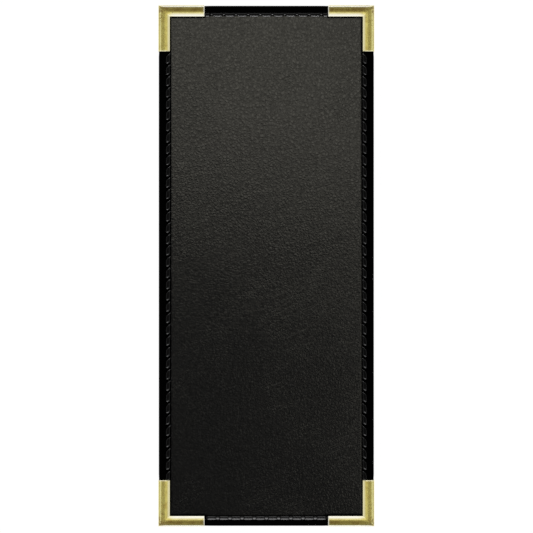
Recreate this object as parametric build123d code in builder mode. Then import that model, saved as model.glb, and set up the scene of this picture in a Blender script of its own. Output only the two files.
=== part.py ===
from build123d import *
import os
from math import cos, radians, sin

os.makedirs("parts", exist_ok=True)

# A single-panel menu cover, lying on its back: X to the right, Y towards the top edge, Z out of the front.
# The origin is on the table, under the centre of the panel. All sizes are in millimetres.

# Outline of the panel, outside the folded binding tape
cover_width = 120.65
cover_height = 292.1

# Layers of the panel
skin_thickness = 0.7
board_thickness = 2.0
lining_thickness = 0.5
film_thickness = 0.3
card_room = 0.3

# The leatherette swells a little inside its frame of tape
field_rise = 0.3
field_gap = 0.3
shoulder_share = 0.8

# Binding tape
tape_thickness = 0.5
side_tape_width = 6.75
end_tape_width = 6.1
tape_fold_radius = 0.7
tape_lip_radius = 0.15

# Brass corners, folded from sheet
brass_sheet = 0.35
arm_length = 26.0
arm_width = 6.35
shelf_width = 3.0
lip_angle = 30.0
roll_radius = 1.2
back_leg_width = 6.0
back_fold_radius = 0.6
brass_edge_break = 0.08

# Card pocket: the free edge of the film lies below the top tape and has a thumb notch
mouth_height = 3.0
notch_radius = 9.0
notch_shoulder_radius = 2.0

# Seams: fat stitches that lie askew, and stop short of the brass
side_pitch = 6.34
side_seam_inset = 5.05
side_seam_start = 0.8
end_pitch = 6.86
end_seam_inset = 4.8
end_seam_start = 1.2
stitch_length = 5.0
stitch_width = 1.9
stitch_tip = 1.2
stitch_height = 0.7
stitch_slant = 12.0
stitch_taper = 25.0
table_clearance = 0.05

# Heights of the layers above the table
tape_back = brass_sheet
film_back = tape_back + tape_thickness
lining_back = film_back + film_thickness + card_room
board_back = lining_back + lining_thickness
skin_back = board_back + board_thickness
skin_front = skin_back + skin_thickness
tape_front = skin_front + tape_thickness

# Every layer is cut to the outline inside the tape
layer_width = cover_width - 2 * tape_thickness
layer_height = cover_height - 2 * tape_thickness

# The brass stands one sheet outside the tape
brass_right = cover_width / 2 + brass_sheet
brass_top = cover_height / 2 + brass_sheet

# The crown of the brass is flat over its shelf, then curves down until the lip meets the tape
crown_curve_radius = (arm_width - shelf_width) / sin(radians(lip_angle))
crown_drop = crown_curve_radius * (1 - cos(radians(lip_angle)))
crown_height = tape_front + crown_drop + brass_sheet * cos(radians(lip_angle))

up = (0, 0, 1)
across_right_edge = Plane((cover_width / 2, 0, 0), x_dir=(-1, 0, 0), z_dir=(0, 1, 0))
across_top_edge = Plane((0, cover_height / 2, 0), x_dir=(0, -1, 0), z_dir=(-1, 0, 0))


def flat_layer(bottom, thickness):
    """A layer of the panel as it is cut from sheet."""
    with BuildPart() as layer:
        with BuildSketch(Plane.XY.offset(bottom)):
            Rectangle(layer_width, layer_height)
        extrude(amount=thickness)
    return layer.part


def folded_tape(across_edge, run, width, neighbour_width):
    """Tape folded round one edge and mitred at both ends to meet its neighbours.

    The given plane stands across the middle of the edge: its x points inwards and its y points up.
    """
    with BuildPart() as tape:
        with BuildSketch(across_edge):
            with Locations((0, tape_back)):
                Rectangle(width, tape_front - tape_back, align=Align.MIN)
            fillet(vertices().group_by(Axis.X)[0], tape_fold_radius)
            fillet(vertices().group_by(Axis.X)[-1], tape_lip_radius)
            with Locations((tape_thickness, film_back)):
                Rectangle(width, skin_front - film_back, align=Align.MIN, mode=Mode.SUBTRACT)
        extrude(amount=run / 2, both=True)
        with BuildSketch(Plane(across_edge.origin, x_dir=across_edge.x_dir, z_dir=up)):
            Polygon(
                (0, -run / 2),
                (width, neighbour_width - run / 2),
                (width, run / 2 - neighbour_width),
                (0, run / 2),
                align=None,
            )
        extrude(amount=tape_front, mode=Mode.INTERSECT)
    return tape.part


def stitch_row(middle, heading, run, pitch, base, height):
    """A straight row of stitches that fills a run, each a lozenge with sloping sides."""
    gaps = round((run - stitch_length) / pitch)
    spacing = (run - stitch_length) / gaps
    shoulder = stitch_length / 2 - stitch_tip
    with BuildPart() as row:
        with BuildSketch(Plane.XY.offset(base)):
            with Locations(Location(middle, heading)):
                with GridLocations(spacing, spacing, gaps + 1, 1):
                    Polygon(
                        (-stitch_length / 2, 0),
                        (-shoulder, -stitch_width / 2),
                        (shoulder, -stitch_width / 2),
                        (stitch_length / 2, 0),
                        (shoulder, stitch_width / 2),
                        (-shoulder, stitch_width / 2),
                        rotation=stitch_slant,
                        align=None,
                    )
        extrude(amount=height, taper=stitch_taper)
    return row.part


def side_stitches(base, height):
    """The stitches of the right side, between its two brass arms."""
    middle = (cover_width / 2 - side_seam_inset, 0, 0)
    run = 2 * (brass_top - arm_length - side_seam_start)
    return stitch_row(middle, 90, run, side_pitch, base, height)


def end_stitches(base, height):
    """The stitches of the top, between its two brass arms."""
    middle = (0, cover_height / 2 - end_seam_inset, 0)
    run = 2 * (brass_right - arm_length - end_seam_start)
    return stitch_row(middle, 0, run, end_pitch, base, height)


# Stiff board between the lining of the back and the leatherette of the front
with BuildPart() as core_board:
    add(flat_layer(board_back, board_thickness))

with BuildPart() as back_lining:
    add(flat_layer(lining_back, lining_thickness))

# Leatherette: a flat margin that the tape holds, and a swollen field with rounded shoulders
with BuildPart() as front_skin:
    add(flat_layer(skin_back, skin_thickness))
    with BuildSketch(Plane.XY.offset(skin_front)):
        Rectangle(
            cover_width - 2 * (side_tape_width + field_gap),
            cover_height - 2 * (end_tape_width + field_gap),
        )
    extrude(amount=field_rise)
    fillet(faces().sort_by(Axis.Z)[-1].edges(), shoulder_share * field_rise)

# Clear film, bound in on three sides
film_bottom = -layer_height / 2
film_top = cover_height / 2 - end_tape_width - mouth_height
with BuildPart() as window_film:
    with BuildSketch(Plane.XY.offset(film_back)):
        with Locations((0, film_bottom)):
            Rectangle(layer_width, film_top - film_bottom, align=(Align.CENTER, Align.MIN))
        with Locations((0, film_top)):
            Circle(notch_radius, mode=Mode.SUBTRACT)
        notch_shoulders = vertices().group_by(Axis.Y)[-1].sort_by(Axis.X)[1:3]
        fillet(notch_shoulders, notch_shoulder_radius)
    extrude(amount=film_thickness)

# Binding tape on the four edges
with BuildPart() as edge_tape_right:
    add(folded_tape(across_right_edge, cover_height, side_tape_width, end_tape_width))

with BuildPart() as edge_tape_left:
    mirror(edge_tape_right.part, about=Plane.YZ)

with BuildPart() as edge_tape_top:
    add(folded_tape(across_top_edge, cover_width, end_tape_width, side_tape_width))

with BuildPart() as edge_tape_bottom:
    mirror(edge_tape_top.part, about=Plane.XZ)

# Seams: needle thread on the front and a thinner bobbin thread on the back
bobbin_height = tape_back - table_clearance
with BuildPart() as seam_front_right:
    add(side_stitches(tape_front, stitch_height))

with BuildPart() as seam_front_left:
    mirror(seam_front_right.part, about=Plane.YZ)

with BuildPart() as seam_front_top:
    add(end_stitches(tape_front, stitch_height))

with BuildPart() as seam_front_bottom:
    mirror(seam_front_top.part, about=Plane.XZ)

with BuildPart() as seam_back_right:
    add(side_stitches(tape_back, -bobbin_height))

with BuildPart() as seam_back_left:
    mirror(seam_back_right.part, about=Plane.YZ)

with BuildPart() as seam_back_top:
    add(end_stitches(tape_back, -bobbin_height))

with BuildPart() as seam_back_bottom:
    mirror(seam_back_top.part, about=Plane.XZ)

# Brass corner: one folded section, swept round the corner of the panel with a sharp mitre
corner_path_start = (brass_right - arm_length, brass_top, 0)
corner_path_end = (brass_right, brass_top - arm_length, 0)
across_arm = Plane(corner_path_start, x_dir=(0, -1, 0), z_dir=(-1, 0, 0))
with BuildPart() as corner_top_right:
    with BuildLine() as corner_path:
        Polyline(corner_path_start, (brass_right, brass_top, 0), corner_path_end)
    with BuildSketch(across_arm):
        with BuildLine():
            FilletPolyline(
                (back_leg_width, 0),
                (0, 0),
                (0, crown_height),
                (shelf_width, crown_height),
                radius=[back_fold_radius, roll_radius],
            )
            JernArc(
                start=(shelf_width, crown_height),
                tangent=(1, 0),
                radius=crown_curve_radius,
                arc_size=-lip_angle,
            )
            offset(amount=brass_sheet, side=Side.RIGHT)
        make_face()
        chamfer(vertices().sort_by(Axis.X)[-1], brass_edge_break)
    sweep(path=corner_path.wires()[0], transition=Transition.RIGHT)
    arm_ends = [faces().sort_by(Axis.X)[0], faces().sort_by(Axis.Y)[0]]
    chamfer(arm_ends[0].edges() + arm_ends[1].edges(), brass_edge_break)

with BuildPart() as corner_top_left:
    mirror(corner_top_right.part, about=Plane.YZ)

with BuildPart() as corner_bottom_right:
    mirror(corner_top_right.part, about=Plane.XZ)

with BuildPart() as corner_bottom_left:
    mirror(corner_top_left.part, about=Plane.XZ)

pieces = {
    "front_skin": front_skin,
    "core_board": core_board,
    "back_lining": back_lining,
    "window_film": window_film,
    "edge_tape_left": edge_tape_left,
    "edge_tape_right": edge_tape_right,
    "edge_tape_top": edge_tape_top,
    "edge_tape_bottom": edge_tape_bottom,
    "seam_front_left": seam_front_left,
    "seam_front_right": seam_front_right,
    "seam_front_top": seam_front_top,
    "seam_front_bottom": seam_front_bottom,
    "seam_back_left": seam_back_left,
    "seam_back_right": seam_back_right,
    "seam_back_top": seam_back_top,
    "seam_back_bottom": seam_back_bottom,
    "corner_top_left": corner_top_left,
    "corner_top_right": corner_top_right,
    "corner_bottom_left": corner_bottom_left,
    "corner_bottom_right": corner_bottom_right,
}
for name, piece in pieces.items():
    piece.part.label = name
    export_step(piece.part, f"parts/{name}.step")
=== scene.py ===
from math import cos, pi, radians, sin, sqrt

import bmesh
import bpy
import numpy as np
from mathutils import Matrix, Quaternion, Vector


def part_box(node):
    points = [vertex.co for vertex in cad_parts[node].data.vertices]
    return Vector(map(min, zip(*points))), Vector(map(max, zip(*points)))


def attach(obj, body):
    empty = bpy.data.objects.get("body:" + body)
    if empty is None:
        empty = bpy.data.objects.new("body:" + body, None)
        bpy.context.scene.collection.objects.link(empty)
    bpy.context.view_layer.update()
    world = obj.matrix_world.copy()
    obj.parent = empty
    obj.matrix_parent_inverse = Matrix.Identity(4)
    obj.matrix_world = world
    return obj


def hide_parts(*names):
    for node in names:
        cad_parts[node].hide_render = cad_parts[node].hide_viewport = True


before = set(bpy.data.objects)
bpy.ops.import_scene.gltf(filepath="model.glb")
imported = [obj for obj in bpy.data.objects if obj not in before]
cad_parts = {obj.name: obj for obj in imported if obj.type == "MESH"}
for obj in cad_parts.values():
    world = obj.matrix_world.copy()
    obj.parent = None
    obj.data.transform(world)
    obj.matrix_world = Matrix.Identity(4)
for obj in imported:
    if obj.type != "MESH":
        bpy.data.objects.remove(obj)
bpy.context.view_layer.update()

# The cover lies on its back: X to the right, Y towards the top edge, Z out of the front, all in metres.
# Where two edges are told apart by a sign, 1 is the right or the top one and -1 the left or the bottom one.
mm = 0.001

# Sizes read from the frame
tape_low, tape_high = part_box("edge_tape_right")
end_tape_low, end_tape_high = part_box("edge_tape_top")
skin_low, skin_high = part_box("front_skin")
film_low, film_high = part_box("window_film")
brass_low, brass_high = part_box("corner_top_right")
half_width = tape_high.x
half_height = tape_high.y
side_tape_width = tape_high.x - tape_low.x
end_tape_width = end_tape_high.y - end_tape_low.y
tape_back = tape_low.z
tape_front = tape_high.z
tape_thickness = half_width - skin_high.x
skin_back = skin_low.z
skin_front = tape_front - tape_thickness
field_front = skin_high.z
arm_length = brass_high.x - brass_low.x
brass_right = brass_high.x
brass_top = brass_high.y
brass_crown = brass_high.z


# Mesh helpers

merge_distance = 0.0005 * mm


def finish_mesh(name, points, faces, finish, sharp_angle, attributes=None):
    """A smooth-shaded mesh object from points and faces, with coinciding points merged."""
    mesh = bpy.data.meshes.new(name)
    mesh.from_pydata(points.tolist(), [], faces)
    for key, values in (attributes or {}).items():
        layer = mesh.attributes.new(key, "FLOAT", "POINT")
        layer.data.foreach_set("value", np.asarray(values, np.float32).ravel())
    work = bmesh.new()
    work.from_mesh(mesh)
    bmesh.ops.remove_doubles(work, verts=work.verts, dist=merge_distance)
    bmesh.ops.recalc_face_normals(work, faces=work.faces)
    work.to_mesh(mesh)
    work.free()
    mesh.polygons.foreach_set("use_smooth", [True] * len(mesh.polygons))
    mesh.set_sharp_from_angle(angle=radians(sharp_angle))
    piece = bpy.data.objects.new(name, mesh)
    bpy.context.scene.collection.objects.link(piece)
    mesh.materials.append(finish)
    return piece


def loft(rings, fan_caps=False, first=0):
    """Faces over a row of closed rings, an array of ring, point and coordinate, with both ends capped."""
    count, size = rings.shape[:2]
    row, column = np.meshgrid(np.arange(count - 1), np.arange(size), indexing="ij")
    onward = (column + 1) % size
    low, high = row * size, (row + 1) * size
    corners = [low + column, low + onward, high + onward, high + column]
    faces = (np.stack(corners, axis=-1).reshape(-1, 4) + first).tolist()
    for start in (0, (count - 1) * size):
        cap = list(range(first + start, first + start + size))
        if fan_caps:
            faces += [[cap[0], cap[k], cap[k + 1]] for k in range(1, size - 1)]
        else:
            faces.append(cap)
    return faces


def arc(centre, radius, start, end, steps):
    """Points along an arc in a section, in degrees."""
    turn = np.radians(np.linspace(start, end, steps + 1))
    return [(centre[0] + radius * cos(a), centre[1] + radius * sin(a)) for a in turn]


def line(start, end, steps):
    """Points along a straight stretch of a section, without its two ends."""
    share = np.arange(1, steps) / steps
    return [(start[0] + s * (end[0] - start[0]), start[1] + s * (end[1] - start[1])) for s in share]


def bell(distance, width):
    """A smooth hump of height one."""
    return np.exp(-((distance / width) ** 2))


def smooth_step(value, low, high):
    """Rises smoothly from nought at low to one at high."""
    share = np.clip((value - low) / (high - low), 0, 1)
    return share * share * (3 - 2 * share)


def waves(x, y, length, seed):
    """Gentle irregular swell over a surface, about one high, with waves of roughly the given length."""
    draw = np.random.default_rng(seed)
    count = 7
    total = 0
    for _ in range(count):
        heading = draw.uniform(0, 2 * pi)
        stretch = draw.uniform(0.7, 1.6)
        phase = draw.uniform(0, 2 * pi)
        total = total + np.sin(2 * pi / (length * stretch) * (x * cos(heading) + y * sin(heading)) + phase)
    return total / sqrt(count)


# Material helpers


def add(tree, kind, inputs=None, **settings):
    """A shader node with its settings, and its inputs set to values or linked to sockets."""
    made = tree.nodes.new(kind)
    for name, value in settings.items():
        setattr(made, name, value)
    for key, value in (inputs or {}).items():
        if isinstance(value, bpy.types.NodeSocket):
            tree.links.new(value, made.inputs[key])
        else:
            made.inputs[key].default_value = value
    return made


def maths(tree, operation, first, second=0.0):
    return add(tree, "ShaderNodeMath", {0: first, 1: second}, operation=operation).outputs[0]


def plus(tree, first, second):
    return maths(tree, "ADD", first, second)


def minus(tree, first, second):
    return maths(tree, "SUBTRACT", first, second)


def times(tree, first, second):
    return maths(tree, "MULTIPLY", first, second)


def larger(tree, first, second):
    return maths(tree, "MAXIMUM", first, second)


def step(tree, value, low, high, to_low=0.0, to_high=1.0):
    """A smooth step of a value between two limits."""
    inputs = {"Value": value, "From Min": low, "From Max": high, "To Min": to_low, "To Max": to_high}
    return add(tree, "ShaderNodeMapRange", inputs, interpolation_type="SMOOTHSTEP").outputs[0]


def blend_colours(tree, factor, first, second):
    return add(tree, "ShaderNodeMix", {0: factor, 6: first, 7: second}, data_type="RGBA").outputs[2]


def noise(tree, place, scale, detail=2.0, roughness=0.5):
    inputs = {"Vector": place, "Scale": scale, "Detail": detail, "Roughness": roughness}
    return add(tree, "ShaderNodeTexNoise", inputs).outputs["Fac"]


def cells(tree, place, scale):
    inputs = {"Vector": place, "Scale": scale}
    return add(tree, "ShaderNodeTexVoronoi", inputs, feature="DISTANCE_TO_EDGE").outputs["Distance"]


def object_place(tree):
    return add(tree, "ShaderNodeTexCoord").outputs["Object"]


def stretched(tree, place, turn, scale):
    """Texture places turned about Z and then scaled unequally."""
    inputs = {"Vector": place, "Rotation": (0, 0, radians(turn)), "Scale": scale}
    return add(tree, "ShaderNodeMapping", inputs, vector_type="TEXTURE").outputs[0]


def attribute(tree, name):
    return add(tree, "ShaderNodeAttribute", attribute_name=name).outputs["Fac"]


def relief(tree, height, depth, strength=1.0):
    """The normal of a surface whose height runs from nought to one over the given depth."""
    inputs = {"Height": height, "Distance": depth, "Strength": strength}
    return add(tree, "ShaderNodeBump", inputs).outputs[0]


def material(name, plain, linked):
    """A material whose shading is built by a function that returns its linked inputs."""
    made = bpy.data.materials.new(name)
    made.use_nodes = True
    tree = made.node_tree
    tree.nodes.clear()
    inputs = dict(plain)
    inputs.update(linked(tree))
    shader = add(tree, "ShaderNodeBsdfPrincipled", inputs)
    add(tree, "ShaderNodeOutputMaterial", {"Surface": shader.outputs[0]})
    return made


# Materials: a texture's scale is roughly its number of grains per metre, unless its places are stretched

pebble_scale = 590.0

# Colours of the brass: clean and tarnished, the painted shade of its end arms' shelf, the painted highlight
# line of its side arms, its spots, and the rims of its end arms and side arms, burnished and painted pale as
# a highlight
clean_brass = (0.80, 0.70, 0.20, 1)
tarnished_brass = (0.62, 0.49, 0.125, 1)
painted_shade_light = (0.43, 0.34, 0.085, 1)
painted_shade_dark = (0.31, 0.21, 0.052, 1)
painted_highlight_line = (0.98, 0.94, 0.45, 1)
brown_spot = (0.26, 0.15, 0.05, 1)
end_arm_burnish_and_highlight = (1.0, 1.0, 0.96, 1)
side_arm_burnish_and_highlight = (0.98, 0.93, 0.66, 1)


def leather_look(tree):
    """Pressed pebble grain, fine pores, and a few faint creases that rise to the right."""
    place = object_place(tree)
    drift = add(tree, "ShaderNodeTexNoise", {"Vector": place, "Scale": 420.0, "Detail": 2.0}).outputs["Color"]
    bent = add(tree, "ShaderNodeVectorMath", {0: drift, "Scale": 0.0011}, operation="SCALE").outputs[0]
    bent = add(tree, "ShaderNodeVectorMath", {0: place, 1: bent}, operation="ADD").outputs[0]
    pebble = step(tree, cells(tree, bent, pebble_scale), 0.0, 0.34)
    pores = noise(tree, place, scale=1500.0, roughness=0.6)
    lumps = noise(tree, place, pebble_scale, detail=3.0, roughness=0.65)
    patch = step(tree, noise(tree, place, scale=26.0), 0.35, 0.7)
    slope = stretched(tree, place, turn=24.0, scale=(0.030, 0.0034, 0.01))
    ridge = noise(tree, slope, scale=1.0, detail=3.0, roughness=0.45)
    ridge = maths(tree, "ABSOLUTE", minus(tree, ridge, 0.5))
    crease = times(tree, step(tree, ridge, 0.0, 0.018, 1.0, 0.0), patch)
    height = plus(tree, times(tree, pebble, 0.45), times(tree, pores, 0.32))
    height = plus(tree, height, times(tree, lumps, 0.8))
    height = minus(tree, height, times(tree, crease, 0.45))
    tint = blend_colours(tree, lumps, (0.0026, 0.0026, 0.0028, 1), (0.0046, 0.0045, 0.0042, 1))
    gloss = plus(tree, times(tree, patch, 0.04), times(tree, pebble, -0.05))
    gloss = plus(tree, gloss, 0.25)
    shine = step(tree, lumps, 0.33, 0.67, 0.44, 0.70)
    shine = times(tree, shine, step(tree, pebble, 0.0, 1.0, 0.7, 1.0))
    return {
        "Base Color": tint,
        "Roughness": gloss,
        "Specular IOR Level": shine,
        "Normal": relief(tree, height, depth=0.1 * mm),
    }


def tape_look(tree):
    """Close black binding with a very fine cross grain."""
    place = object_place(tree)
    grain = noise(tree, place, scale=3200.0, roughness=0.6)
    weave = cells(tree, place, scale=1500.0)
    wear = noise(tree, place, scale=90.0, detail=3.0)
    tint = blend_colours(tree, wear, (0.0005, 0.0005, 0.0006, 1), (0.0011, 0.0010, 0.0010, 1))
    height = plus(tree, grain, step(tree, weave, 0.0, 0.3))
    gloss = step(tree, wear, 0.3, 0.7, 0.78, 0.9)
    return {"Base Color": tint, "Roughness": gloss, "Normal": relief(tree, height, depth=0.02 * mm)}


def thread_look(tree):
    """Waxed black thread with fine fibres."""
    place = object_place(tree)
    fibre = noise(tree, place, scale=5200.0, roughness=0.65)
    fuzz = noise(tree, place, scale=700.0)
    tint = blend_colours(tree, fuzz, (0.0008, 0.0008, 0.0009, 1), (0.0019, 0.0018, 0.0017, 1))
    gloss = step(tree, fuzz, 0.3, 0.7, 0.17, 0.27)
    return {"Base Color": tint, "Roughness": gloss, "Normal": relief(tree, fibre, depth=0.012 * mm)}


def brass_look(tree):
    """Pressed brass: rims burnished and painted pale as a highlight, a painted highlight line on its side
    arms, painted shade on the shelf of its end arms, and slight spots.
    """
    place = object_place(tree)
    rim = attribute(tree, "rim")
    off_rim = minus(tree, 1.0, rim)
    corner = attribute(tree, "corner")
    clouds = noise(tree, place, scale=260.0, detail=4.0, roughness=0.6)
    specks = noise(tree, place, scale=900.0, detail=3.0, roughness=0.65)
    across = times(tree, attribute(tree, "depth"), 1.5)
    along = times(tree, attribute(tree, "run"), 0.1)
    drawn = add(tree, "ShaderNodeCombineXYZ", {0: across, 1: along}).outputs[0]
    streaks = noise(tree, drawn, scale=1.0)
    tarnish = step(tree, plus(tree, clouds, times(tree, corner, 0.16)), 0.42, 0.72)
    tarnish = larger(tree, tarnish, step(tree, streaks, 0.45, 0.7))
    tarnish = times(tree, tarnish, off_rim)
    # Painted shade: the shelf of the end arms is painted in darker brass, mottled by the clouds
    painted_shade = times(tree, attribute(tree, "painted_shade"), off_rim)
    spot_level = minus(tree, 0.64, times(tree, corner, 0.2))
    spot_range = {"Value": minus(tree, specks, spot_level), "From Min": 0.0, "From Max": 0.06}
    spots = times(tree, add(tree, "ShaderNodeMapRange", spot_range).outputs[0], off_rim)
    tint = blend_colours(tree, tarnish, clean_brass, tarnished_brass)
    shaded_brass_tint = blend_colours(tree, step(tree, clouds, 0.4, 0.62), painted_shade_light, painted_shade_dark)
    tint = blend_colours(tree, painted_shade, tint, shaded_brass_tint)
    # Painted highlight: a pale line along the shelf of the side arms
    tint = blend_colours(tree, attribute(tree, "bright"), tint, painted_highlight_line)
    tint = blend_colours(tree, times(tree, spots, 0.7), tint, brown_spot)
    # The rims are burnished and also painted pale as a highlight, nearly white on the end arms
    burnish_and_highlight = blend_colours(tree, attribute(tree, "side_arm"), end_arm_burnish_and_highlight, side_arm_burnish_and_highlight)
    tint = blend_colours(tree, rim, tint, burnish_and_highlight)
    gloss = plus(tree, 0.2, times(tree, tarnish, 0.10))
    gloss = plus(tree, gloss, times(tree, spots, 0.15))
    height = plus(tree, clouds, times(tree, specks, 0.25))
    return {"Base Color": tint, "Roughness": gloss, "Normal": relief(tree, height, depth=0.03 * mm)}


def board_look(tree):
    """Grey chipboard with long pale and dark fibres."""
    place = stretched(tree, object_place(tree), turn=20.0, scale=(0.004, 0.0004, 0.001))
    fibre = noise(tree, place, scale=1.0, detail=4.0, roughness=0.6)
    tint = blend_colours(tree, fibre, (0.20, 0.18, 0.15, 1), (0.36, 0.33, 0.28, 1))
    return {"Base Color": tint, "Normal": relief(tree, fibre, depth=0.05 * mm)}


def lining_look(tree):
    """Black lining paper with a soft cloth grain."""
    place = object_place(tree)
    cloth = noise(tree, place, scale=1800.0, roughness=0.6)
    cloud = noise(tree, place, scale=60.0)
    tint = blend_colours(tree, cloud, (0.008, 0.008, 0.009, 1), (0.014, 0.014, 0.014, 1))
    return {"Base Color": tint, "Normal": relief(tree, cloth, depth=0.03 * mm)}


def film_look(tree):
    """Clear vinyl, a little hazy and scuffed."""
    place = object_place(tree)
    haze = noise(tree, place, scale=45.0, detail=4.0, roughness=0.6)
    scuffed = stretched(tree, place, turn=35.0, scale=(0.02, 0.0008, 0.01))
    scuff = noise(tree, scuffed, scale=1.0, detail=3.0)
    gloss = plus(tree, step(tree, haze, 0.35, 0.75, 0.05, 0.16), times(tree, scuff, 0.06))
    return {"Roughness": gloss, "Normal": relief(tree, haze, depth=0.05 * mm, strength=0.4)}


leather = material("leatherette", {"IOR": 1.5}, leather_look)
tape_black = material("binding_tape", {"IOR": 1.5, "Specular IOR Level": 0.03}, tape_look)
thread_black = material("waxed_thread", {"IOR": 1.5, "Specular IOR Level": 0.4}, thread_look)
brass = material("brass", {"Metallic": 1.0}, brass_look)
chipboard = material("chipboard", {"Roughness": 0.85, "Specular IOR Level": 0.3}, board_look)
lining_black = material("lining", {"Roughness": 0.62, "Specular IOR Level": 0.4}, lining_look)
vinyl = material(
    "clear_vinyl",
    {"Base Color": (0.97, 0.98, 0.98, 1), "IOR": 1.46, "Transmission Weight": 1.0},
    film_look,
)


def dress(piece, slot, *nodes):
    """A finished piece rides on the cover and stands for its CAD nodes."""
    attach(piece, "root")
    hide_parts(*nodes)


# Seams

side_pitch = 6.341 * mm
side_seam = half_width - 5.05 * mm
side_shift = -0.73 * mm
end_pitch = 6.85 * mm
top_seam = half_height - 5.03 * mm
bottom_seam = half_height - 4.34 * mm
end_shift = 0.08 * mm
stitch_width = 2.2 * mm
stitch_rise = 0.62 * mm
first_top_stitch = 3.0 * mm

# Length, bluntness of the ends, slant in degrees, shear and bow of the stitches.
# They lie askew along the sides and are plump along the ends
side_stitch = (5.6 * mm, 6.0, 3.0, 0.75, 0.7 * mm)
stitch_shapes = {
    "right": side_stitch,
    "left": side_stitch,
    "top": (6.4 * mm, 8.0, 0.0, 0.0, 0.5 * mm),
    "bottom": (6.4 * mm, 7.0, 0.0, 0.0, 0.0),
}


def seam_row(count, pitch, shift):
    """Middles of evenly spaced stitches along a seam."""
    return shift + pitch * (np.arange(count) - (count - 1) / 2)


side_row = seam_row(38, side_pitch, side_shift)
top_row = seam_row(9, end_pitch, end_shift)
bottom_row = seam_row(10, end_pitch, end_shift)

# Each seam: along a side or an end, the sign of its edge, its distance from the middle, and its stitches
seams = {
    "right": ("side", 1, side_seam, side_row),
    "left": ("side", -1, side_seam, side_row),
    "top": ("end", 1, top_seam, top_row),
    "bottom": ("end", -1, bottom_seam, bottom_row),
}

# How many millimetres the thread draws the tape down along its line and at its holes, and lifts the lip
# beside each stitch
line_drop = 0.10
hole_drop = 0.24
lip_lift = 0.05

# How far the two holes of a stitch lie from its middle
hole_offset = 2.55 * mm

# The lips of the tapes do not run quite true: the side ones lie a little outside their lines, and the end
# ones lie outside theirs between the brass arms and inside beside them, changing over as they near an arm
side_lip = 0.17 * mm
lip_between_arms = 0.65 * mm
lip_beside_arms = {1: 0.5 * mm, -1: 0.12 * mm}
change_starts = half_width - 29 * mm
change_ends = half_width - 25 * mm


def pucker(along, inward, row, seam_inset, tape_width):
    """How far the thread draws the tape down, at a place along its edge and inward from it."""
    line_pull = bell(inward - seam_inset, 1.25 * mm)
    nearest = np.abs(along[..., None] - row).min(axis=-1)
    hole = bell(nearest - hole_offset, 0.85 * mm) * bell(inward - seam_inset, 0.75 * mm)
    lip = smooth_step(inward, tape_width - 1.2 * mm, tape_width)
    lift = lip * bell(nearest, 1.7 * mm)
    return (line_drop * line_pull + hole_drop * hole - lip_lift * lift) * mm


def drawn_out(along, sign):
    """How far outside its line the lip of an end tape lies, at a place along it."""
    beside_arms = smooth_step(np.abs(along), change_starts, change_ends)
    return lip_between_arms * (1 - beside_arms) - lip_beside_arms[sign] * beside_arms


# Leatherette face

side_gap = 0.2 * mm
end_gap = 0.18 * mm
shoulder = 0.8 * mm
shoulder_spacing = 0.14 * mm
field_spacing = 1.1 * mm

# The closely spaced band over the shoulder reaches this far outside and inside the lip of the tape, and the
# wider spacing starts this far beyond the band and stops this far short of the middle
band_outside = 0.2 * mm
band_inside = 2.2 * mm
beyond_band = 0.6 * mm
short_of_middle = 0.5 * mm

# The field swells a little less than the CAD's, so that its ripple has room, and the ripple dies out
# towards the tape
ripple_room = 0.06 * mm
calm_margin = 6 * mm


def graded(half, edge):
    """Places across the face: close together over the shoulder of the field, further apart inside it."""
    near = np.arange(edge - band_outside, edge + band_inside, shoulder_spacing)
    far = np.arange(near[-1] + beyond_band, half - short_of_middle, field_spacing)
    inward = np.concatenate([[0, edge / 2], near, far])
    return np.concatenate([inward - half, [0], (half - inward)[::-1]])


def make_face():
    half_x = skin_high.x
    half_y = skin_high.y
    x = graded(half_x, side_tape_width - tape_thickness)
    y = graded(half_y, end_tape_width - tape_thickness)
    across, up = np.meshgrid(x, y)
    from_side = half_width - np.abs(across) - side_tape_width - side_gap + side_lip
    drawn = np.where(up > 0, drawn_out(across, 1), drawn_out(across, -1))
    from_end = half_height - np.abs(up) - end_tape_width - end_gap + drawn
    inside = np.minimum(from_side, from_end)
    softened = np.clip(inside / shoulder, 0, 1)
    swell = np.sqrt(1 - (1 - softened) ** 2)
    ripple_share = smooth_step(inside, 0, calm_margin)
    ripple = 0.03 * waves(across, up, 46 * mm, 3) + 0.012 * waves(across, up, 11 * mm, 5)
    top = skin_front + swell * (field_front - skin_front - ripple_room) + ripple_share * ripple * mm
    top = np.minimum(top, field_front)
    rows = []
    for k in range(len(y)):
        surface = np.stack([across[k], up[k], top[k]], axis=-1)
        under_left = (-half_x, y[k], skin_back)
        under_right = (half_x, y[k], skin_back)
        rows.append(np.concatenate([[under_left], surface, [under_right]]))
    rings = np.array(rows)
    face = finish_mesh("leatherette_face", rings.reshape(-1, 3), loft(rings, fan_caps=True), leather, 60)
    dress(face, "leatherette", "front_skin")


make_face()

# Binding tape

fold_radius = 0.7 * mm
lip_radius = 0.15 * mm
ring_spacing = 0.62 * mm

# Width of the band along the lip that shifts with it
lip_band = 1.5 * mm

# Points of its section within this height of the front or the back of a tape move with that face, and the
# thread draws the back up by this share of what it draws the front down
face_band = 0.2 * mm
back_pull = 0.6

# How far from its corner the bulge of a tape starts to fade and is gone, just clear of the brass, and how
# far in from its edge the bulge reaches
bulge_fades = 29 * mm
bulge_gone = 26.5 * mm
bulge_band = 1.5 * mm

# Each kind of tape: its width, that of its neighbours, half its run, the distance of its edge from the
# middle, and how far it bulges between the brass arms
tape_kinds = {
    "side": (side_tape_width, end_tape_width, half_height, half_width, 0.1 * mm),
    "end": (end_tape_width, side_tape_width, half_width, half_height, 0.055 * mm),
}


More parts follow.
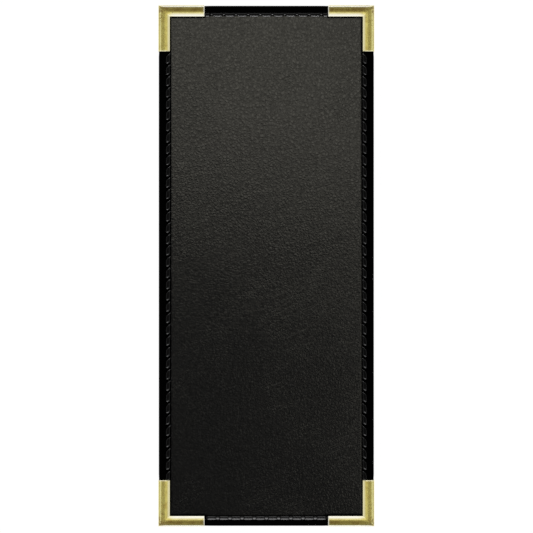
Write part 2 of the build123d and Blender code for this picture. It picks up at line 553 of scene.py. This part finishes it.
def tape_section(width):
    """A strip folded round the edge, as points inward from the edge and up from the table."""
    top, low = tape_front, tape_back
    inner_low = tape_back + tape_thickness
    outer = [(width, inner_low)]
    outer += arc((width - lip_radius, low + lip_radius), lip_radius, 0, -90, 3)
    outer += line((width - lip_radius, low), (fold_radius, low), 16)
    outer += arc((fold_radius, low + fold_radius), fold_radius, 270, 180, 6)
    outer += line((0, low + fold_radius), (0, top - fold_radius), 5)
    outer += arc((fold_radius, top - fold_radius), fold_radius, 180, 90, 6)
    outer += line((fold_radius, top), (width - lip_radius, top), 26)
    outer += arc((width - lip_radius, top - lip_radius), lip_radius, 90, 0, 3)
    inner = [(width, skin_front), (tape_thickness, skin_front), (tape_thickness, inner_low)]
    return np.array(outer + inner)


def make_tape(name, kind, sign, seam, row):
    """A tape along one edge, mitred at both ends and drawn down by its stitches."""
    width, neighbour, half_run, edge, bulge = tape_kinds[kind]
    section = tape_section(width)
    inward, height = section[:, 0], section[:, 1]
    stations = int(2 * half_run / ring_spacing)
    share = np.linspace(-1, 1, stations + 1)[:, None]
    along = share * (half_run - inward * neighbour / width)
    inward = np.broadcast_to(inward, along.shape)
    height = np.broadcast_to(height, along.shape)
    drop = pucker(along, inward, row, edge - seam, width)
    on_front = height > tape_front - face_band
    on_back = height < tape_back + face_band
    wander = 0.02 * mm * waves(along, inward, 17 * mm, 11 + sign)
    lip = smooth_step(inward, width - lip_band, width)
    front = height - drop + wander * lip
    back = height + back_pull * drop
    height = np.where(on_front, front, np.where(on_back, back, height))
    clear_of_brass = 1 - smooth_step(np.abs(along), half_run - bulge_fades, half_run - bulge_gone)
    swell = bulge * clear_of_brass * (1 - smooth_step(inward, 0, bulge_band))
    scallop = 0.05 * mm * waves(along, 0 * along, 7 * mm, 17 + sign)
    scallop = scallop - (side_lip if kind == "side" else drawn_out(along, sign))
    inward = inward + np.where(on_front, lip * scallop, 0) - swell
    outward = sign * (edge - inward)
    if kind == "side":
        rings = np.stack([outward, along, height], axis=-1)
    else:
        rings = np.stack([along, outward, height], axis=-1)
    tape = finish_mesh(name, rings.reshape(-1, 3), loft(rings), tape_black, 50)
    dress(tape, "tape", "edge_" + name)


for side, (kind, sign, seam, row) in seams.items():
    make_tape("tape_" + side, kind, sign, seam, row)

# Threads

plies = 3
ply_twist = 1.35
ply_groove = 0.09
thread_rings = 22
thread_points = 24

# How far a stitch stands out of the back, and how far the ends of all stitches go down into the tape
back_rise = 0.3 * mm
thread_sink = 0.35 * mm

# How strongly the rings of a stitch crowd towards its ends, the power by which it closes there, and the
# share of its height that it keeps there
end_crowding = 1.35
end_closing = 0.45
end_height = 0.35

# Length, width and height of the beads of each end seam, how far outside the line of the seam they lie,
# and how strongly they lean inward
bead_shapes = {
    "top": (1.5 * mm, 1.3 * mm, 0.4 * mm, 0.5 * mm, 0.0),
    "bottom": (2.8 * mm, 1.7 * mm, 0.52 * mm, 0.05 * mm, 0.5),
}


def stitch(side, middle, length, base, rise, sink):
    """One stitch: plies twisted together, with both ends drawn down into the tape."""
    kind, sign, _, _ = seams[side]
    _, blunt, slant, shear, bow = stitch_shapes[side]
    share = np.linspace(-1, 1, thread_rings)[:, None]
    share = np.sign(share) * (1 - (1 - np.abs(share)) ** end_crowding)
    turn = np.linspace(0, 2 * pi, thread_points, endpoint=False)[None, :]
    fullness = (1 - 0.99 * np.abs(share) ** blunt) ** end_closing
    groove = 1 - ply_groove * np.abs(np.sin(plies / 2 * (turn - ply_twist * pi * share * sign)))
    radius = fullness * groove
    sideways = stitch_width / 2 * radius * np.cos(turn)
    arch = 1 - np.abs(share) ** blunt
    lift = base - sink + (rise + sink) * 0.5 * arch
    height_share = end_height + (1 - end_height) * arch
    high = lift + (rise + sink) * 0.5 * radius * np.sin(turn) * height_share
    forward = length / 2 * share + sign * shear * sideways
    sideways = sideways + sign * bow * share**4
    angle = (pi / 2 if kind == "side" else 0.0) + sign * radians(slant)
    x = middle[0] + forward * cos(angle) - sideways * sin(angle)
    y = middle[1] + forward * sin(angle) + sideways * cos(angle)
    return np.stack([x, y, high], axis=-1)


def bead(side, middle, base, sink):
    """The small loop that shows where two stitches of an end seam meet."""
    long, wide, rise, _, lean = bead_shapes[side]
    sign = seams[side][1]
    share = np.sin(np.linspace(-0.497, 0.497, thread_rings) * pi)[:, None]
    turn = np.linspace(0, 2 * pi, thread_points, endpoint=False)[None, :]
    fullness = np.sqrt(1 - share**2)
    x = middle[0] + long / 2 * share + 0 * turn
    y = middle[1] + wide / 2 * fullness * (np.cos(turn) - sign * lean * np.sin(turn))
    z = base + (rise - sink) / 2 + (rise + sink) / 2 * fullness * np.sin(turn)
    return np.stack([x, y, z], axis=-1)


def make_seam(name, node, shapes):
    """All the stitches of one seam on one face of the cover."""
    points = [rings.reshape(-1, 3) for rings in shapes]
    faces = []
    for count, rings in enumerate(shapes):
        faces += loft(rings, first=count * thread_rings * thread_points)
    seam = finish_mesh(name, np.concatenate(points), faces, thread_black, 60)
    dress(seam, "thread", node)


def seam_stitches(side):
    """Middle and length of each stitch. The top seam has a short one beside the brass at both ends."""
    kind, sign, seam, row = seams[side]
    found = [(along, stitch_shapes[side][0]) for along in row]
    if side == "top":
        beside_brass = brass_right - arm_length - first_top_stitch / 2
        found += [(-beside_brass, first_top_stitch), (beside_brass, first_top_stitch)]
    if kind == "side":
        return [((sign * seam, along), length) for along, length in found]
    return [((along, sign * seam), length) for along, length in found]


def seam_beads(side):
    """Middle of each bead. The top seam has one more beyond its whole stitches at both ends."""
    if side not in bead_shapes:
        return []
    _, sign, seam, row = seams[side]
    outside = bead_shapes[side][3]
    places = row[1:] - end_pitch / 2
    if side == "top":
        places = np.concatenate([[row[0] - end_pitch / 2], places, [row[-1] + end_pitch / 2]])
    return [(along, sign * (seam + outside)) for along in places]


for side in seams:
    stitches = seam_stitches(side)
    front = [stitch(side, *place, tape_front, stitch_rise, thread_sink) for place in stitches]
    front += [bead(side, place, tape_front, thread_sink) for place in seam_beads(side)]
    back = [stitch(side, *place, tape_back, -back_rise, -thread_sink) for place in stitches]
    make_seam("needle_thread_" + side, "seam_front_" + side, front)
    make_seam("bobbin_thread_" + side, "seam_back_" + side, back)

# Brass corners

sheet = 0.35 * mm
back_leg = 6.0 * mm
back_fold = 0.6 * mm
roll = 1.2 * mm
shelf = 3.0 * mm
arm_width = 6.35 * mm
lip_angle = 30.0
crown_curve = (arm_width - shelf) / sin(radians(lip_angle))
corner_round = 0.35 * mm
end_roll = 0.55 * mm
end_droop = 0.34 * mm
dent_depth = 0.012 * mm
crown_sink = 0.09 * mm

# The arms came out of the press a little unlike: those along the top and the bottom are narrower, and those
# along the sides have a narrower shelf
side_arm_width = 6.43 * mm
side_shelf = 2.6 * mm
end_arm_widths = {1: 6.30 * mm, -1: 5.79 * mm}

# How far inward from its edge the rim of each end arm is burnished and painted pale as a highlight most
# strongly
end_rims = {1: 0.72 * mm, -1: 0.42 * mm}


def brass_section():
    """Outer face of the folded sheet and then its inner face, as points inward and up."""
    top = brass_crown
    curve_centre = (shelf, top - crown_curve)
    outer = [(back_leg, 0.0)] + line((back_leg, 0), (back_fold, 0), 8)
    outer += arc((back_fold, back_fold), back_fold, 270, 180, 6)
    outer += line((0, back_fold), (0, top - roll), 8)
    outer += arc((roll, top - roll), roll, 180, 90, 10)
    outer += line((roll, top), (shelf, top), 8)
    outer += arc(curve_centre, crown_curve, 90, 90 - lip_angle, 12)
    inner = arc(curve_centre, crown_curve - sheet, 90 - lip_angle, 90, 12)
    inner += line((shelf, top - sheet), (roll, top - sheet), 4)
    inner += arc((roll, top - roll), roll - sheet, 90, 180, 6)
    inner += line((sheet, top - roll), (sheet, back_fold), 8)
    inner += arc((back_fold, back_fold), back_fold - sheet, 180, 270, 4)
    inner += line((back_fold, sheet), (back_leg, sheet), 8) + [(back_leg, sheet)]
    return np.array(outer + inner)


# Distances of the first rings of an arm from its end, crowded because the end is rolled down
crowded = np.array([0, 0.03, 0.08, 0.16, 0.28, 0.42, 0.6, 1.0, 1.8]) * mm


def corner_path(inward, right, top):
    """Rings from the end of one arm, round the mitre, to the end of the other, for each inward offset."""
    low_x = right - arm_length
    low_y = top - arm_length
    bend_x = right - inward - corner_round
    bend_y = top - inward - corner_round
    steps = np.linspace(0, 1, 40)[1:]
    xs, ys = [], []
    start_x = low_x + crowded[:, None] + 0 * inward
    xs.append(start_x)
    ys.append(np.broadcast_to(top - inward, start_x.shape))
    run_x = (low_x + crowded[-1]) + steps[:, None] * (bend_x - low_x - crowded[-1])
    xs.append(run_x)
    ys.append(np.broadcast_to(top - inward, run_x.shape))
    turn = np.radians(np.linspace(0, 90, 7)[1:])[:, None]
    xs.append(bend_x + corner_round * np.sin(turn))
    ys.append(bend_y + corner_round * np.cos(turn))
    run_y = (low_y + crowded[-1]) + steps[::-1][1:, None] * (bend_y - low_y - crowded[-1])
    ys.append(run_y)
    xs.append(np.broadcast_to(right - inward, run_y.shape))
    end_y = low_y + crowded[::-1, None] + 0 * inward
    ys.append(end_y)
    xs.append(np.broadcast_to(right - inward, end_y.shape))
    return np.concatenate(xs), np.concatenate(ys)


def brass_marks(depth, from_end, near_mitre, end_arm, above, end_rim):
    """Where brass is burnished and painted pale as a highlight, has a painted highlight line or painted
    shade, lies near its mitre or on a side arm, and places for streaks.
    """
    # The rims: burnished edges, also painted pale as a highlight, along the outer roll, the inner lip and the
    # arm ends
    rim_start = arm_width - (1.6 + end_arm) * mm
    rim_width = (0.36 + 0.14 * end_arm) * mm
    outer_rim = (1 - 0.2 * end_arm) * bell(depth - end_rim * end_arm, rim_width)
    rim = np.maximum(outer_rim, smooth_step(depth, rim_start, arm_width))
    rim = np.maximum(rim, bell(from_end, 0.5 * mm))
    # A painted highlight line along the side arms, at a fixed depth
    bright = (1 - end_arm) * bell(depth - 1.38 * mm, 0.36 * mm)
    # A band across the shelf of the end arms that is painted darker as shade
    shade_band_starts = smooth_step(depth, 1.3 * mm, 1.85 * mm)
    shade_band_ends = smooth_step(depth, 3.1 * mm, 4.3 * mm)
    return {
        "rim": rim * above,
        "bright": bright * above,
        "painted_shade": end_arm * shade_band_starts * (1 - shade_band_ends),
        "corner": near_mitre,
        "side_arm": 1 - end_arm,
        "depth": depth / mm,
        "run": from_end / mm,
    }


def make_corner(name, sign_x, sign_y, seed):
    """A folded brass corner whose arm ends are rolled down a little, with the unevenness of pressed sheet."""
    section = brass_section()
    inward, height = section[:, 0], section[:, 1]
    x, y = corner_path(inward[None, :], brass_right, brass_top)
    height = np.broadcast_to(height, x.shape)
    along_end = x - (brass_right - arm_length)
    along_side = y - (brass_top - arm_length)
    from_end = np.where(y >= brass_top - arm_width, along_end, along_side)
    fall = 1 - np.sqrt(1 - np.clip(1 - from_end / end_roll, 0, 1) ** 2)
    above = smooth_step(height, tape_front - 0.3 * mm, brass_crown - 0.45 * mm)
    dents = dent_depth * waves(x, y, 6 * mm, seed) * above
    depth = np.broadcast_to(inward, x.shape)
    from_mitre = np.hypot(brass_right - x, brass_top - y)
    end_arm = smooth_step(brass_right - x - (brass_top - y), -1.0 * mm, 4.0 * mm)
    crown = (1 - end_arm) * (1 - smooth_step(depth, 0.9 * mm, 2.4 * mm)) * above
    height = height - fall * end_droop * above + np.minimum(dents, 0) - crown_sink * crown
    marks = brass_marks(depth, from_end, bell(from_mitre, 7.5 * mm), end_arm, above, end_rims[sign_y])
    side_widths = [0, side_shelf, side_arm_width, arm_length]
    from_side = np.interp(brass_right - x, [0, shelf, arm_width, arm_length], side_widths)
    from_top = np.interp(brass_top - y, [0, arm_width, arm_length], [0, end_arm_widths[sign_y], arm_length])
    rings = np.stack([sign_x * (brass_right - from_side), sign_y * (brass_top - from_top), height], axis=-1)
    corner = finish_mesh(name, rings.reshape(-1, 3), loft(rings), brass, 38, marks)
    dress(corner, "brass", name.replace("brass_", ""))


corners = {"top_right": (1, 1), "top_left": (-1, 1), "bottom_right": (1, -1), "bottom_left": (-1, -1)}
for seed, (place, (sign_x, sign_y)) in enumerate(corners.items()):
    make_corner("brass_corner_" + place, sign_x, sign_y, 40 + seed)

# Clear film with its thumb notch

notch_radius = 9.0 * mm
notch_shoulder = 2.0 * mm
slack_margin = 12 * mm


def free_edge():
    """The upper edge of the film from left to right: straight, with a rounded notch in the middle."""
    reach = sqrt((notch_radius + notch_shoulder) ** 2 - notch_shoulder**2)
    touch = np.degrees(np.arcsin(notch_shoulder / (notch_radius + notch_shoulder)))
    right = arc((0, 0), notch_radius, 270, 360 - touch, 20)
    right += arc((reach, -notch_shoulder), notch_shoulder, 180 - touch, 90, 8)[1:]
    right += line((reach, 0), (film_high.x, 0), 30) + [(film_high.x, 0)]
    left = [(-x, y) for x, y in right[:0:-1]]
    return np.array(left + right)


def make_film():
    edge = free_edge()
    levels = np.linspace(0, 1, 90)
    x = np.broadcast_to(edge[:, :1], (len(edge), len(levels)))
    top = film_high.y + edge[:, 1:]
    y = film_low.y + levels[None, :] * (top - film_low.y)
    slack = smooth_step(half_width - np.abs(x), side_tape_width, side_tape_width + slack_margin)
    slack = slack * smooth_step(y - film_low.y, end_tape_width, end_tape_width + slack_margin)
    ripple = 0.05 * mm * waves(x, y, 60 * mm, 23) * slack
    low = np.stack([x, y, film_low.z + ripple], axis=-1)
    high = np.stack([x, y, film_high.z + ripple], axis=-1)
    rings = np.concatenate([low, high[:, ::-1]], axis=1)
    film = finish_mesh("clear_film", rings.reshape(-1, 3), loft(rings), vinyl, 50)
    dress(film, "film", "window_film")


make_film()

# The board and the lining keep their CAD shapes
for node, finish in (("core_board", chipboard), ("back_lining", lining_black)):
    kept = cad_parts[node]
    for place in kept.material_slots:
        place.material = finish

# Floor: pale and plain, with the soft shadow of the cover

floor_half = 4.0
floor_glow = 1.22


def floor_material():
    """Glowing white where it is seen, with some plain paint near the cover to take its shadow."""
    made = bpy.data.materials.new("pale_floor")
    made.use_nodes = True
    tree = made.node_tree
    tree.nodes.clear()
    place = object_place(tree)
    away = add(tree, "ShaderNodeVectorMath", {0: place}, operation="LENGTH").outputs["Value"]
    shaded = step(tree, away, 0.22, 0.5, 0.2, 0.0)
    path = add(tree, "ShaderNodeLightPath")
    seen = larger(tree, path.outputs["Is Camera Ray"], path.outputs["Is Glossy Ray"])
    seen = larger(tree, seen, path.outputs["Is Transmission Ray"])
    white = times(tree, seen, minus(tree, 1.0, shaded))
    paint = add(tree, "ShaderNodeBsdfDiffuse", {"Color": (0.92, 0.92, 0.92, 1)})
    glow = add(tree, "ShaderNodeEmission", {"Color": (1, 1, 1, 1), "Strength": floor_glow})
    mixed = add(tree, "ShaderNodeMixShader", {0: white, 1: paint.outputs[0], 2: glow.outputs[0]})
    add(tree, "ShaderNodeOutputMaterial", {"Surface": mixed.outputs[0]})
    return made


floor_mesh = bpy.data.meshes.new("floor")
floor_corners = [(-floor_half, -floor_half, 0), (floor_half, -floor_half, 0)]
floor_corners += [(floor_half, floor_half, 0), (-floor_half, floor_half, 0)]
floor_mesh.from_pydata(floor_corners, [], [(0, 1, 2, 3)])
floor = bpy.data.objects.new("floor", floor_mesh)
bpy.context.scene.collection.objects.link(floor)
floor_mesh.materials.append(floor_material())

# World: dim overhead, brighter to the sides, and white where the camera looks at it


def make_world():
    world = bpy.data.worlds.new("studio")
    bpy.context.scene.world = world
    world.use_nodes = True
    tree = world.node_tree
    tree.nodes.clear()
    towards = add(tree, "ShaderNodeTexCoord").outputs["Generated"]
    upward = add(tree, "ShaderNodeSeparateXYZ", {0: towards}).outputs[2]
    level = step(tree, upward, 0.3, 0.8, 0.5, 0.07)
    path = add(tree, "ShaderNodeLightPath")
    seen = larger(tree, path.outputs["Is Camera Ray"], path.outputs["Is Transmission Ray"])
    light = add(tree, "ShaderNodeBackground", {"Color": (1, 1, 1, 1), "Strength": level})
    white = add(tree, "ShaderNodeBackground", {"Color": (1, 1, 1, 1), "Strength": 1.0})
    mixed = add(tree, "ShaderNodeMixShader", {0: seen, 1: light.outputs[0], 2: white.outputs[0]})
    add(tree, "ShaderNodeOutputWorld", {"Surface": mixed.outputs[0]})


make_world()

# Lamps

neutral = (1, 1, 1)
warm = (1.0, 0.965, 0.82)
cover_middle = (0, 0, 0)
high_up = (0, 0, 3.2)


def softbox(name, place, aim, size, brightness, lights, colour=neutral, turn=0.0):
    """A rectangular lamp that faces its aim, of a given brightness, and the pieces that it is kept for."""
    lamp = bpy.data.lights.new(name, "AREA")
    lamp.shape = "RECTANGLE"
    lamp.size, lamp.size_y = size
    lamp.energy = brightness * pi * size[0] * size[1]
    lamp.color = colour
    held = bpy.data.objects.new(name, lamp)
    bpy.context.scene.collection.objects.link(held)
    held.location = place
    facing = (Vector(aim) - Vector(place)).to_track_quat("-Z", "Y")
    held.rotation_euler = (facing @ Quaternion((0, 0, 1), radians(turn))).to_euler()
    held.visible_camera = False
    lit = bpy.data.collections.new(name + "_lights")
    for piece in lights:
        lit.objects.link(bpy.data.objects[piece])
    held.light_linking.receiver_collection = lit


face = ["leatherette_face"]
softbox("key", (-0.11, 0.277, 0.36), (-0.11, 0.227, 0.0), (0.54, 0.42), 1.26, face, warm, turn=-11)
softbox("fill", (0.34, -0.1, 0.5), (0, -0.04, 0), (0.3, 0.5), 0.84, face, warm)
softbox("sky", high_up, cover_middle, (0.9, 1.0), 0.13, face)
softbox("left_edge", (-1.2, 0, 0.6), cover_middle, (1.6, 0.5), 3.0, face)
brass_pieces = ["brass_corner_" + place for place in corners]
softbox("overhead", high_up, cover_middle, (0.9, 1.0), 0.44, brass_pieces)
for sign in (-1, 1):
    softbox("by_side", (1.65 * sign, 0, 2.5), cover_middle, (2.8, 2.6), 0.68, brass_pieces)
top_pair = [piece for piece in brass_pieces if "top" in piece]
bottom_pair = [piece for piece in brass_pieces if "bottom" in piece]
softbox("inside_top", (0, -1.85, 2.37), cover_middle, (2.6, 2.9), 0.86, top_pair)
softbox("inside_bottom", (0, 1.85, 2.37), cover_middle, (2.6, 2.9), 0.9, bottom_pair)
softbox("outside_top", (0, 2.2, 1.4), cover_middle, (2.6, 1.7), 1.1, top_pair)
softbox("outside_bottom", (0, -2.5, 0.8), cover_middle, (2.6, 0.9), 1.1, bottom_pair)

# The two lamps of each seam, beyond the bottom edge of the cover and beyond its top edge: place along Y,
# height above the table, breadth and brightness
seam_lamps = {
    "right": ((-1.6, 1.0, 1.0, 2.7), (1.6, 1.0, 1.0, 5.4)),
    "left": ((-1.6, 1.0, 1.0, 4.4), (1.6, 1.0, 1.0, 5.4)),
    "top": ((-1.6, 1.0, 1.0, 15.0), (1.6, 1.8, 1.5, 0.5)),
    "bottom": ((-1.6, 1.6, 2.2, 5.4), (1.6, 1.8, 1.5, 2.0)),
}
for side, lamps in seam_lamps.items():
    for y, height, breadth, brightness in lamps:
        thread = ["needle_thread_" + side]
        softbox("seam_" + side, (0, y, height), cover_middle, (2.0, breadth), brightness, thread)

# Camera: straight above, at the photograph's framing

frame_pixels = 533
pixel = 0.5618 * mm
camera_height = 2.4
off_centre = (0.10 * mm, -0.38 * mm)
camera = bpy.data.objects.new("camera", bpy.data.cameras.new("camera"))
bpy.context.scene.collection.objects.link(camera)
camera.location = (*off_centre, tape_front + camera_height)
camera.data.sensor_width = 36.0
camera.data.lens = camera.data.sensor_width * camera_height / (frame_pixels * pixel)
camera.data.clip_start = 0.05
camera.data.clip_end = 50.0
bpy.context.scene.camera = camera
bpy.context.scene.view_settings.view_transform = "Standard"
